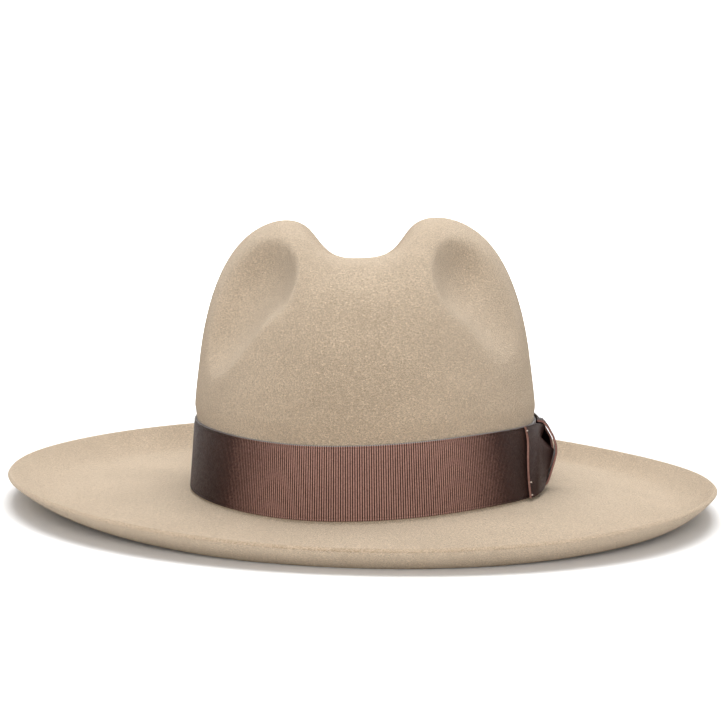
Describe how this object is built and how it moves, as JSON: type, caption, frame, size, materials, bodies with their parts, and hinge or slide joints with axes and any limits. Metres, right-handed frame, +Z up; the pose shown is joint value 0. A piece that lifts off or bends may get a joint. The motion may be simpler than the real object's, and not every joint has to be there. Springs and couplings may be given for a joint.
{
  "type": "wide-brim fedora hat",
  "caption": "Fur-felt hat with a pinched, creased crown, a wide brim with an upturned lip, and a grosgrain ribbon with a side bow.",
  "frame": {"origin": "on the floor that the hat rests on, under the middle of its bounding box", "axes": "+Z up, -Y towards the front of the hat, +X towards the wearer's left, where the bow is"},
  "size_m": [0.3476, 0.3826, 0.1408],
  "materials": {
    "felt": "brushed tan fur felt, matt",
    "ribbon": "brown grosgrain ribbon with upright ribs, slight sheen",
    "bow": "brown grosgrain ribbon, pleated"
  },
  "bodies": {
    "root": {"felt_body": "felt", "ribbon_band": "ribbon", "bow_front_wing": "bow", "bow_rear_wing": "bow", "bow_knot": "bow"}
  },
  "joints": []
}
